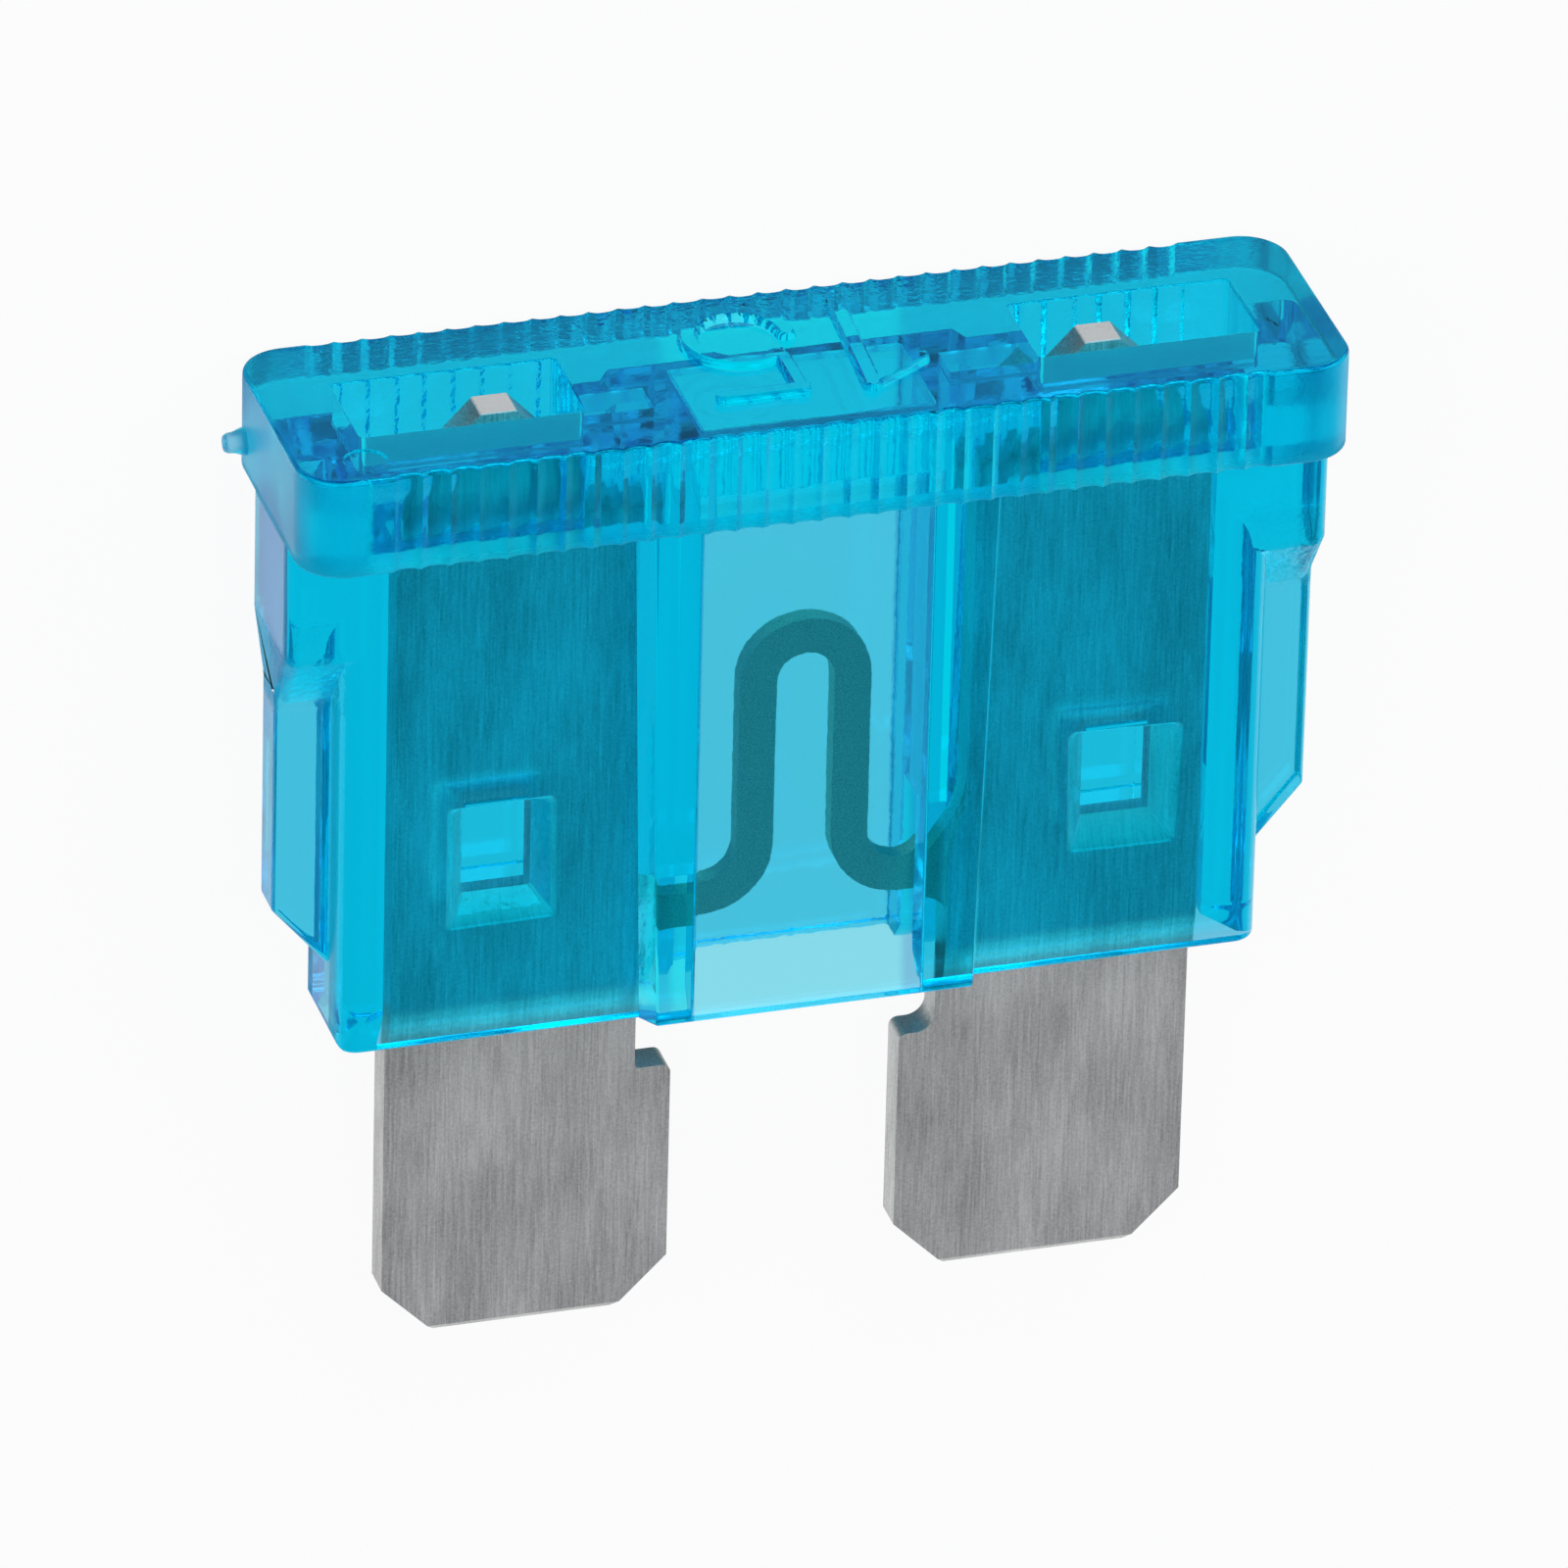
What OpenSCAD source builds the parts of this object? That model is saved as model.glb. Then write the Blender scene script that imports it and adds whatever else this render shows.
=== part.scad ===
// Regular plug-in blade fuse: a one-piece stamped fuse element in a one-piece
// moulded, transparent housing. All sizes are in millimetres.
//
// The pieces are drawn upright: X across the two blades, Y through the
// thickness, Z up with 0 at the underside of the housing. lay_on_back() then
// turns them to the way a loose fuse rests on a table, on its back, on the
// lower edge of the cap and the bottom edge of the bulge.

/* [Cap] */
// Width of the cap across the two blades
cap_w = 19.1; // [18.6:0.1:19.4]
// Thickness of the cap, front to back
cap_d = 5.1; // [4.8:0.1:5.4]
// Height of the cap
cap_h = 1.9; // [1.7:0.1:2.2]
// Corner radius of the cap, seen from above
cap_corner_r = 0.85; // [0.5:0.05:1.1]
// Number of grip flutes on the front and on the back
flute_count = 31; // [21:2:31]
// Distance from one flute to the next
flute_pitch = 0.515; // [0.45:0.005:0.52]
// Depth of a flute
flute_depth = 0.08; // [0.05:0.01:0.14]
// Length of the broken gate stub on the end of the cap
gate_l = 0.4; // [0.2:0.1:0.6]
// Diameter of the gate stub where it leaves the cap
gate_d = 0.46; // [0.3:0.02:0.6]
// Diameter of the ejector pin's witness mark on the top
ejector_d = 0.75; // [0.5:0.05:1]

/* [Housing body] */
// Height of the housing, underside to top
housing_h = 12.3; // [12:0.1:12.6]
// Thickness of the neck and the two panels
panel_d = 2.44; // [2.3:0.02:2.6]
// Width across the two panels
panel_w = 17; // [16.6:0.1:17.2]
// Width of the neck under the cap
neck_w = 19.04; // [18.6:0.02:19.1]
// Height at which the neck begins to slope in to the fins
neck_z = 8.0; // [7.6:0.1:8.4]
// Height at which that slope reaches the fins
fin_top_z = 6.85; // [6.4:0.05:7.2]
// Thickness of the fin on each end
fin_d = 0.88; // [0.7:0.02:1.1]
// Height at which the fin begins to run in to the panel
fin_run_z = 2.65; // [2.4:0.05:3]
// Height at which the fin's lower slope meets the panel
fin_low_z = 1.45; // [1.2:0.05:1.8]
// Thickness of the bulge over the fuse link
bulge_d = 3.16; // [2.9:0.02:3.4]
// Width of the bulge at the panel, just under the cap
bulge_top_w = 6.6; // [6.2:0.1:6.8]
// Width of the bulge at the panel, at the underside
bulge_low_w = 6.1; // [5.9:0.1:6.4]

/* [Openings] */
// Width of a test window in the top
window_w = 4.05; // [3.8:0.05:4.2]
// Thickness of a test window, front to back
window_d = 1.96; // [1.6:0.02:2.2]
// Depth of a test window
window_h = 2.1; // [2:0.05:2.4]
// Distance from the middle to the centre of a test window
window_x = 6.15; // [6.1:0.05:6.2]
// Width of the chamber around the fuse link
chamber_w = 4.14; // [3.9:0.02:4.3]
// Thickness of the chamber, front to back
chamber_d = 2.3; // [2.1:0.02:2.4]
// Height of the chamber's ceiling
chamber_h = 10.7; // [10:0.1:10.8]
// Height of the lead-in chamfer at the mouth of the blade slots
lead_in_h = 0.42; // [0.3:0.02:0.6]
// How far that chamfer widens the mouth, front and back
lead_in_out = 0.34; // [0.2:0.02:0.5]
// Width of a staking dent at the panel's face
dent_w = 1.98; // [1.8:0.02:2.2]
// How far a staking dent slopes out below its floor
dent_down = 0.46; // [0.3:0.02:0.6]
// How far a staking dent slopes out above its floor
dent_up = 0.12; // [0.06:0.02:0.3]
// Height of the middle of the staking holes
dent_z = 3.69; // [3.5:0.01:3.9]

/* [Fuse element] */
// Distance from the middle to a blade's outer edge
blade_out_x = 7.4; // [7.3:0.05:7.45]
// Distance from the middle to a blade's inner edge, below the notch
blade_in_x = 2.12; // [2:0.02:2.3]
// Distance from the middle to a blade's inner edge, inside the housing
blade_neck_x = 2.78; // [2.7:0.02:2.9]
// Thickness of the blades
blade_t = 0.65; // [0.6:0.01:0.68]
// Length of the blades below the housing
blade_l = 6.5; // [6:0.1:7]
// Chamfer on a blade's corners
blade_chamfer = 1.0; // [0.8:0.05:1.1]
// Coined bevel around the end of a blade
blade_bevel = 0.14; // [0.08:0.02:0.2]
// Depth of the notch below the housing
notch_l = 1.55; // [1.3:0.05:1.7]
// Width of the fuse link
link_w = 0.68; // [0.5:0.02:0.75]
// Thickness of the fuse link, which is coined thinner than the blades
link_t = 0.36; // [0.3:0.02:0.5]
// Radius of the link's top bend at the middle of its width
link_top_r = 0.87; // [0.75:0.01:0.95]
// Height of the centre of the link's top bend
link_top_z = 6.02; // [5.6:0.02:6.3]
// Radius of the link's lower bends at the middle of its width
link_low_r = 0.95; // [0.7:0.01:1.05]
// Height of the link's feet, where they meet the blades
link_foot_z = 1.82; // [1.7:0.02:2]
// Width of the staking hole in a blade
stake_w = 1.16; // [1:0.02:1.3]
// Height of the staking hole in a blade
stake_h = 1.72; // [1.6:0.02:1.9]

/* [Hidden] */
$fn = 48;
eps = 0.01;

// Colours
plastic_blue = [0.0, 0.68, 0.85];
zinc_grey = [0.62, 0.62, 0.61];

// Cap: flutes are drawn with this many straight steps each
flute_steps = 12;
flute_sharpness = 1.6;
corner_steps = 10;
flute_run = flute_count * flute_pitch;
gate_y = 1.6;
gate_z = housing_h - 1.27;
gate_tip_d = 0.26;
ejector_pos = [-8.3, -1.8];
ejector_h = 0.04;

// Rounding of the housing's vertical and lower corners
neck_edge_r = 0.3;
panel_edge_r = 0.16;
panel_foot_left_r = 0.28;
panel_foot_right_r = 0.1;
bulge_flank = (bulge_d - panel_d) / 2;
bulge_draft = atan((bulge_top_w - bulge_low_w) / 2 / (housing_h - cap_h));

// Blade slots: clearance around the blades, and the channel that joins the
// slots to the chamber so that the link can be pushed in from below
slot_gap = 0.05;
slot_d = blade_t + 2 * slot_gap;
slot_in_x = blade_neck_x - 0.08;
slot_out_x = blade_out_x + 0.16;
lead_in_left = 0.16;
lead_in_right = 0.76;
slot_top_z = housing_h - 1.25;
channel_h = 5.2;
chamber_chamfer = 0.05;
chamber_shift = 0.08;

// Staking: both dents and the holes sit a little to one side of the blades
stake_x = 5.70;
stake_shift = 0.16;
stake_gap = 0.01;
stake_end_gap = 0.09;
dent_floor_y = 0.75;
dent_floor_rim = 0.05;
dent_reach = 1.5;

// Fuse element
link_shift = 0.2;
blade_right_extra = 0.08;
tip_x = 5.5;
tip_w = 0.62;
tip_z = housing_h - 0.2;
shoulder_z = housing_h - 1.85;
shoulder_x = 2 * tip_x - blade_out_x;
notch_r_left = 0.08;
notch_r_right = 0.36;
tab_r = 0.16;
link_low_z = link_foot_z + link_low_r;
// Fillets between the link's feet and the blades: length along the foot and
// height along the blade
root_left = [0.5, 0.3];
root_right_upper = [0.75, 1.8];
root_right_lower = [0.55, 0.35];
root_steps = 12;

// Resting position: the tilt that puts the lower edge of the cap and the
// bottom edge of the bulge on the same level
rest_tilt = atan((cap_d - bulge_d) / 2 / (housing_h - cap_h));
rest_y_high = cap_d / 2 * sin(rest_tilt) + housing_h * cos(rest_tilt);
rest_y_low = (blade_bevel - blade_t / 2) * sin(rest_tilt) - blade_l * cos(rest_tilt);
rest_z_low = -bulge_d / 2 * cos(rest_tilt);

// ---------------------------------------------------------------- helpers

// Lays the upright fuse on its back, with the middle of the underside of its
// bounding box at the origin
module lay_on_back() {
    translate([gate_l / 2, -(rest_y_high + rest_y_low) / 2, -rest_z_low])
        rotate([rest_tilt - 90, 0, 0])
            children();
}

// Extrudes an outline drawn in X and Z through the thickness d
module through_y(d) {
    rotate([90, 0, 0])
        linear_extrude(height = d, center = true)
            children();
}

// Extrudes an outline drawn in Y and Z across the width w
module across_x(w) {
    rotate([90, 0, 90])
        linear_extrude(height = w, center = true)
            children();
}

// The same shape on both sides of the middle
module both_sides() {
    children();
    mirror([1, 0, 0]) children();
}

module rounded_box_2d(w, d, r) {
    union() {
        square([w - 2 * r, d], center = true);
        square([w, d - 2 * r], center = true);
        for (sx = [-1, 1], sy = [-1, 1])
            translate([sx * (w / 2 - r), sy * (d / 2 - r)]) circle(r = r);
    }
}

// What rounding takes away from a corner at the origin, between +X and +Y
module corner_waste_2d(r) {
    difference() {
        translate([-1, -1]) square([r + 1, r + 1]);
        translate([r, r]) circle(r = r);
    }
}

// Four-sided funnel. low and top are [left, right, front, back], the distances
// of the four sides from the Z axis at z = 0 and at z = h.
module funnel(low, top, h) {
    intersection() {
        through_y(2 * max(low[2], low[3], top[2], top[3]) + 1)
            polygon([[-low[0], 0], [low[1], 0], [top[1], h], [-top[0], h]]);
        across_x(2 * max(low[0], low[1], top[0], top[1]) + 1)
            polygon([[-low[2], 0], [low[3], 0], [top[3], h], [-top[2], h]]);
    }
}

// ------------------------------------------------------------ the housing

// Depth of the flutes at a place along the cap: 0 on each crest
function flute_at(x) = flute_depth
    * (1 - pow(0.5 + 0.5 * cos(360 * (x + flute_run / 2) / flute_pitch), flute_sharpness));

// One long edge of the cap's outline: side is -1 in front, 1 at the back, where
// the flutes stand half a pitch to the left of those in front
function fluted_edge(side) = [
    for (i = [0 : flute_count * flute_steps])
        let (x = -flute_run / 2 + i * flute_pitch / flute_steps,
             along = side > 0 ? -x - flute_pitch / 2 : x)
            [along, side * (cap_d / 2 - flute_at(x))]
];

// A quarter round of the cap's outline, from the angle a on
function cap_corner(sx, sy, a) = [
    for (i = [0 : corner_steps])
        let (t = a + 90 * i / corner_steps)
            [sx * (cap_w / 2 - cap_corner_r) + cap_corner_r * cos(t),
             sy * (cap_d / 2 - cap_corner_r) + cap_corner_r * sin(t)]
];

module cap() {
    translate([0, 0, housing_h - cap_h])
        linear_extrude(height = cap_h)
            polygon(concat(
                fluted_edge(-1), cap_corner(1, -1, -90), cap_corner(1, 1, 0),
                fluted_edge(1), cap_corner(-1, 1, 90), cap_corner(-1, -1, 180)
            ));
}

// Neck under the cap: as thick as the panels, with a slope in to the fins
module neck() {
    neck_top_z = housing_h - cap_h / 2;
    intersection() {
        across_x(neck_w)
            polygon([
                [-panel_d / 2, neck_top_z], [-panel_d / 2, neck_z], [-fin_d / 2, fin_top_z],
                [fin_d / 2, fin_top_z], [panel_d / 2, neck_z], [panel_d / 2, neck_top_z]
            ]);
        linear_extrude(height = housing_h)
            rounded_box_2d(neck_w, panel_d, neck_edge_r);
    }
}

// A thin fin on each end, between the corner pockets
module fins() {
    through_y(fin_d)
        polygon([
            [-panel_w / 2, fin_low_z], [panel_w / 2, fin_low_z],
            [neck_w / 2, fin_run_z], [neck_w / 2, neck_z],
            [-neck_w / 2, neck_z], [-neck_w / 2, fin_run_z]
        ]);
}

// Two flat panels in one, over the blades
module panels() {
    panel_top_z = housing_h - cap_h / 2;
    intersection() {
        linear_extrude(height = panel_top_z)
            rounded_box_2d(panel_w, panel_d, panel_edge_r);
        through_y(panel_d + 1)
            difference() {
                translate([-panel_w / 2, 0]) square([panel_w, panel_top_z]);
                translate([panel_w / 2, 0]) mirror([1, 0]) corner_waste_2d(panel_foot_right_r);
                translate([-panel_w / 2, 0]) corner_waste_2d(panel_foot_left_r);
            }
    }
}

// Bulge over the fuse link, front and back, with sloping flanks and some draft
module bulge() {
    bulge_top_z = housing_h - cap_h / 2;
    reach = 2 * bulge_d;
    difference() {
        translate([0, 0, bulge_top_z / 2])
            cube([bulge_top_w + 1, bulge_d, bulge_top_z], center = true);
        for (sx = [0, 1], sy = [0, 1])
            mirror([sx, 0, 0]) mirror([0, sy, 0])
                translate([bulge_low_w / 2, panel_d / 2, 0])
                    rotate([0, bulge_draft, 0]) rotate([0, 0, 45])
                        translate([0, -reach / 2, -1]) cube([reach, reach, housing_h + 2]);
    }
}

// Stub left on the end of the cap where the moulding gate broke off
module gate_stub() {
    translate([-cap_w / 2 + eps, gate_y, gate_z])
        rotate([0, -90, 0])
            cylinder(h = gate_l + eps, d1 = gate_d, d2 = gate_tip_d);
}

module test_windows() {
    both_sides()
        translate([window_x, 0, housing_h - window_h])
            linear_extrude(height = window_h + 1)
                square([window_w, window_d], center = true);
}

// Chamber around the fuse link, open below, with a small chamfer at its mouth
module chamber() {
    translate([chamber_shift, 0, chamber_h / 2 - 0.5])
        cube([chamber_w, chamber_d, chamber_h + 1], center = true);
    half = [chamber_w, chamber_w, chamber_d, chamber_d] / 2;
    out = [2, 2, 2, 2] * chamber_chamfer;
    translate([chamber_shift, 0, -chamber_chamfer])
        funnel(half + out, half, 2 * chamber_chamfer);
}

// Slots for the blades, the channel between them, and their lead-in chamfer
module blade_slots() {
    both_sides()
        translate([slot_in_x, -slot_d / 2, -1])
            cube([slot_out_x - slot_in_x, slot_d, slot_top_z + 1]);
    translate([-slot_out_x, -slot_d / 2, -1])
        cube([2 * slot_out_x, slot_d, channel_h + 1]);
    mouth = [slot_out_x, slot_out_x, slot_d / 2, slot_d / 2];
    out = [lead_in_left, lead_in_right, lead_in_out, lead_in_out];
    translate([0, 0, -lead_in_h])
        funnel(mouth + 2 * out, mouth, 2 * lead_in_h);
}

// Staking dents, pressed in from the front and from the back
module staking_dents() {
    depth = panel_d / 2 - dent_floor_y;
    side = stake_w / 2 + dent_floor_rim;
    end = stake_h / 2 + dent_floor_rim;
    out = [dent_w / 2 - side, dent_w / 2 - side, dent_down, dent_up];
    floor_sides = [side, side, end, end];
    for (sx = [-1, 1], sy = [0, 1])
        mirror([0, sy, 0])
            translate([sx * stake_x + stake_shift, -dent_floor_y, dent_z])
                rotate([90, 0, 0])
                    funnel(floor_sides, floor_sides + dent_reach * out, depth * dent_reach);
}

// Plastic pressed through the hole in each blade, which holds the element
module stakes() {
    for (sx = [-1, 1])
        translate([sx * stake_x + stake_shift, 0, dent_z])
            cube([stake_w - 2 * stake_gap, slot_d + eps, stake_h - 2 * stake_end_gap],
                 center = true);
}

module ejector_mark() {
    translate([ejector_pos[0], ejector_pos[1], housing_h - ejector_h])
        cylinder(h = 1, d = ejector_d);
}

module housing() {
    color(plastic_blue)
        lay_on_back()
            union() {
                difference() {
                    union() {
                        cap();
                        neck();
                        fins();
                        panels();
                        bulge();
                        gate_stub();
                    }
                    test_windows();
                    chamber();
                    blade_slots();
                    staking_dents();
                    ejector_mark();
                }
                stakes();
            }
}

// ------------------------------------------------------- the fuse element

// What a corner of 90 degrees between -X and -Z keeps when it is rounded
module rounded_corner_2d(r) {
    intersection() {
        translate([r, r]) circle(r = r);
        square([r, r]);
    }
}

// The filling of an inside corner between +X and -Z
module inside_fillet_2d(r) {
    difference() {
        translate([-r, 0]) square([r, r]);
        translate([-r, r]) circle(r = r);
    }
}

// Right-hand blade: the tip in the test window, the neck, the notch below the
// housing, and the wider end with its chamfered corners
module blade_2d(notch_r, out_x) {
    difference() {
        union() {
            polygon([
                [blade_neck_x, shoulder_z], [blade_neck_x, -notch_l],
                [blade_in_x + tab_r, -notch_l], [blade_in_x + tab_r, -notch_l - tab_r],
                [blade_in_x, -notch_l - tab_r], [blade_in_x, -blade_l + blade_chamfer],
                [blade_in_x + blade_chamfer, -blade_l],
                [out_x - blade_chamfer, -blade_l],
                [out_x, -blade_l + blade_chamfer], [out_x, shoulder_z],
                [tip_x + tip_w / 2, tip_z], [tip_x - tip_w / 2, tip_z],
                [shoulder_x, shoulder_z]
            ]);
            translate([blade_in_x, -notch_l])
                mirror([0, 1]) rounded_corner_2d(tab_r);
            translate([blade_neck_x, -notch_l]) inside_fillet_2d(notch_r);
        }
    }
}

// The fillet where the foot of the link runs in to the blade on its right:
// a quarter of an ellipse, size[0] along the foot and size[1] up the blade
module root_fillet_2d(size) {
    polygon(concat([[0, 0]], [
        for (i = [0 : root_steps])
            let (t = 90 * i / root_steps)
                [size[0] * (sin(t) - 1), size[1] * (1 - cos(t))]
    ]));
}

// A quarter of a ring, from the angle a on
module quarter_ring_2d(r, a) {
    rotate(a)
        intersection() {
            difference() {
                circle(r = r + link_w / 2);
                circle(r = r - link_w / 2);
            }
            square(r + link_w);
        }
}

// Right-hand half of the link, from the top bend to the foot
module half_link_2d(foot_end_x) {
    translate([0, link_top_z]) quarter_ring_2d(link_top_r, 0);
    translate([link_top_r - link_w / 2, link_low_z])
        square([link_w, link_top_z - link_low_z]);
    translate([link_top_r + link_low_r, link_low_z]) quarter_ring_2d(link_low_r, 180);
    translate([link_top_r + link_low_r, link_foot_z - link_w / 2])
        square([foot_end_x - link_top_r - link_low_r, link_w]);
}

module link_2d() {
    weld = 0.2;
    translate([link_shift, 0]) {
        half_link_2d(blade_neck_x + weld - link_shift);
        mirror([1, 0]) half_link_2d(blade_neck_x + weld + link_shift);
    }
    translate([blade_neck_x, link_foot_z + link_w / 2]) root_fillet_2d(root_right_upper);
    translate([blade_neck_x, link_foot_z - link_w / 2])
        mirror([0, 1]) root_fillet_2d(root_right_lower);
    translate([-blade_neck_x, link_foot_z + link_w / 2])
        mirror([1, 0]) root_fillet_2d(root_left);
    translate([-blade_neck_x, link_foot_z - link_w / 2])
        mirror([1, 0]) mirror([0, 1]) root_fillet_2d(root_left);
}

module blades() {
    intersection() {
        through_y(blade_t)
            difference() {
                union() {
                    blade_2d(notch_r_right, blade_out_x + blade_right_extra);
                    mirror([1, 0]) blade_2d(notch_r_left, blade_out_x);
                }
                for (sx = [-1, 1])
                    translate([sx * stake_x + stake_shift, dent_z])
                        square([stake_w, stake_h], center = true);
            }
        across_x(2 * blade_out_x + 1)
            polygon([
                [-blade_t / 2, tip_z + 1], [-blade_t / 2, -blade_l + blade_bevel],
                [-blade_t / 2 + blade_bevel, -blade_l], [blade_t / 2 - blade_bevel, -blade_l],
                [blade_t / 2, -blade_l + blade_bevel], [blade_t / 2, tip_z + 1]
            ]);
    }
}

module fuse_element() {
    color(zinc_grey)
        lay_on_back()
            union() {
                blades();
                through_y(link_t) link_2d();
            }
}

housing();
fuse_element();
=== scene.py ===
# %% [markdown]
# # A plug-in blade fuse
# The fuse is a clear blue moulding around a stamped zinc element, and it lies
# on its back on a pale floor. The first lines load the exact solids: every
# object made later uses the same frame, in metres.

# %% Load the frame
import math

import bmesh
import bpy
import numpy as np
from mathutils import Matrix, Vector


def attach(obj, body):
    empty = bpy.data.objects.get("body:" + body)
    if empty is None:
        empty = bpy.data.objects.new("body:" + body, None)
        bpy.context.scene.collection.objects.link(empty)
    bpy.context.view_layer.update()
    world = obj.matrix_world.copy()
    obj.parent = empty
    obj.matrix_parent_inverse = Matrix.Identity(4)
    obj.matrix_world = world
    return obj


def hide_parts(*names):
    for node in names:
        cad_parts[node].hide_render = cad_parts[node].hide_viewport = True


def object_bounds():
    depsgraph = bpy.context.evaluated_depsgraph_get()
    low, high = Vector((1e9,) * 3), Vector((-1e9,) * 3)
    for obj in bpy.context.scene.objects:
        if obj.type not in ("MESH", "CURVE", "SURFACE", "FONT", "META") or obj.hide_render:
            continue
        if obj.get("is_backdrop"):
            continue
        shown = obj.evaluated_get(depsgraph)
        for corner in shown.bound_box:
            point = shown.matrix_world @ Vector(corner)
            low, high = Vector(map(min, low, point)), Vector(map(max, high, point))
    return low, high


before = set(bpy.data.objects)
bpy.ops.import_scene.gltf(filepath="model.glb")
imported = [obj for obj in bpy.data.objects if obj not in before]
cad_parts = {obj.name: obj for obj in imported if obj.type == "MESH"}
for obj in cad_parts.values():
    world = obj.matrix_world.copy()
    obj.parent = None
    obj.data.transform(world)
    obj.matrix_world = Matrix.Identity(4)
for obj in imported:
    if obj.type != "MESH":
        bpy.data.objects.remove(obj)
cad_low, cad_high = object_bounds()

MM = 1000.0
print("nodes:", sorted(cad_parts))
print("box in mm:", [round(MM * (b - a), 2) for a, b in zip(cad_low, cad_high)])

# %% [markdown]
# ## One place for positions
# It is easier to say where a detail is on a fuse that stands upright, with X
# across the blades, Y through the thickness and Z up from the underside of the
# housing. The fuse lies on its back, so one function turns such a point to the
# way that it lies.

# %% Upright millimetres to lying millimetres
HOUSING_H = 12.3
CAP_H = 1.9
CAP_D = 5.1
BULGE_D = 3.16
# The fuse rests on the cap's back edge and the bulge, which stands less far out.
REST_TILT = math.atan((CAP_D - BULGE_D) / 2 / (HOUSING_H - CAP_H))
SIN_T, COS_T = math.sin(REST_TILT), math.cos(REST_TILT)
# The gate stub on the left end is in the box too, so the middle is off by half of it.
STUB_REACH = 0.4
SHIFT_X = MM * (cad_low[0] + cad_high[0]) / 2 + STUB_REACH / 2
SHIFT_Y = CAP_D / 2 * SIN_T + HOUSING_H * COS_T - MM * cad_high[1]
SHIFT_Z = BULGE_D / 2 * COS_T


def lay(points):
    """Turns upright points to lying ones, both in mm.

    The formula is a turn about X by the tilt less a quarter turn, then a shift.
    """
    x, y, z = np.asarray(points, float).T
    return np.stack([x + SHIFT_X,
                     y * SIN_T + z * COS_T - SHIFT_Y,
                     z * SIN_T - y * COS_T + SHIFT_Z], 1)


def stand(points):
    """The way back: turns lying points to upright ones, both in mm."""
    x, y, z = np.asarray(points, float).T
    y, z = y + SHIFT_Y, z - SHIFT_Z
    return np.stack([x - SHIFT_X, y * SIN_T - z * COS_T, y * COS_T + z * SIN_T], 1)


print("tilt in degrees:", round(math.degrees(REST_TILT), 2))
print("top of the cap in mm:", lay([[0, 0, HOUSING_H]])[0].round(3))

# %% [markdown]
# ## The camera
# A long lens keeps a small thing free of perspective. The camera looks at the
# fuse from the front and above, as if it stood, so over the lying fuse it
# hangs high and a little to one side. Its place and its turn are worked out
# from three angles.

# %% Camera
AZIMUTH, ELEVATION, ROLL = (math.radians(a) for a in (-16.895, 29.663, 1.4645))
# Distance and aim are in upright millimetres, lens and sensor in those of a camera.
DISTANCE = 339.45
AIM = (-0.0422, 0.0, 3.719)
LENS, SENSOR = 440.3, 36


def view_axes():
    """Right, up and backward directions of the camera, for the upright fuse."""
    back = np.array([math.sin(AZIMUTH) * math.cos(ELEVATION),
                     -math.cos(AZIMUTH) * math.cos(ELEVATION),
                     math.sin(ELEVATION)])
    right = np.cross([0, 0, 1], back)
    right /= np.linalg.norm(right)
    up = np.cross(back, right)
    return (math.cos(ROLL) * right + math.sin(ROLL) * up,
            math.cos(ROLL) * up - math.sin(ROLL) * right,
            back)


axes = view_axes()
place = lay([np.array(AIM) + DISTANCE * axes[2]])[0]
turned = [lay([a])[0] - lay([[0, 0, 0]])[0] for a in axes]
matrix = np.eye(4)
for column in range(3):
    matrix[:3, column] = turned[column]
matrix[:3, 3] = place / MM
camera_data = bpy.data.cameras.new("camera")
camera_data.lens = LENS
camera_data.sensor_width = SENSOR
camera_data.clip_start = 0.01
camera_data.clip_end = 20
camera = bpy.data.objects.new("camera", camera_data)
camera.matrix_world = Matrix(matrix.tolist())
bpy.context.collection.objects.link(camera)
bpy.context.scene.camera = camera
bpy.context.scene.view_settings.view_transform = "Standard"
print("camera in mm:", place.round(1))

# %% [markdown]
# ## The moulding as rounded shapes
# The CAD solid has the exact sizes, and its edges are sharp. A moulding tool is
# milled and polished, so no edge of the real housing is: each one is rounded by
# a twentieth of a millimetre or more. In clear plastic that shows more than in
# any other material, because a rounded edge bends the light that passes it. So
# the housing is built again from rounded shapes, with the CAD's sizes.
#
# Every shape is a stack of rings. A ring is one outline, and a rounded edge is
# the same outline drawn in step by step while it moves along.

# %% Rings, outlines and roundings
CLOSE = 1e-6
ALMOST_STRAIGHT = math.radians(89)


def rounded(points, radii, steps=4):
    """An outline with its corners rounded.

    A corner of inner angle g and radius r becomes an arc that starts r/tan(g/2)
    before it, about a middle that lies r/sin(g/2) inwards.
    """
    points = np.asarray(points, float)
    radii = np.broadcast_to(radii, len(points))
    out = []
    for here, before, after, r in zip(points, np.roll(points, 1, 0), np.roll(points, -1, 0), radii):
        a, b = before - here, after - here
        a, b = a / np.linalg.norm(a), b / np.linalg.norm(b)
        half = math.acos(np.clip(a @ b, -1, 1)) / 2
        if r < CLOSE or half > ALMOST_STRAIGHT:
            out.append(here)
            continue
        middle = here + (a + b) / np.linalg.norm(a + b) * r / math.sin(half)
        first = here + a * r / math.tan(half) - middle
        last = here + b * r / math.tan(half) - middle
        turn = math.pi - 2 * half
        for s in np.linspace(0, 1, steps + 1):
            arc = math.sin((1 - s) * turn) * first + math.sin(s * turn) * last
            out.append(middle + arc / math.sin(turn))
    return np.array(out)


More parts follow.
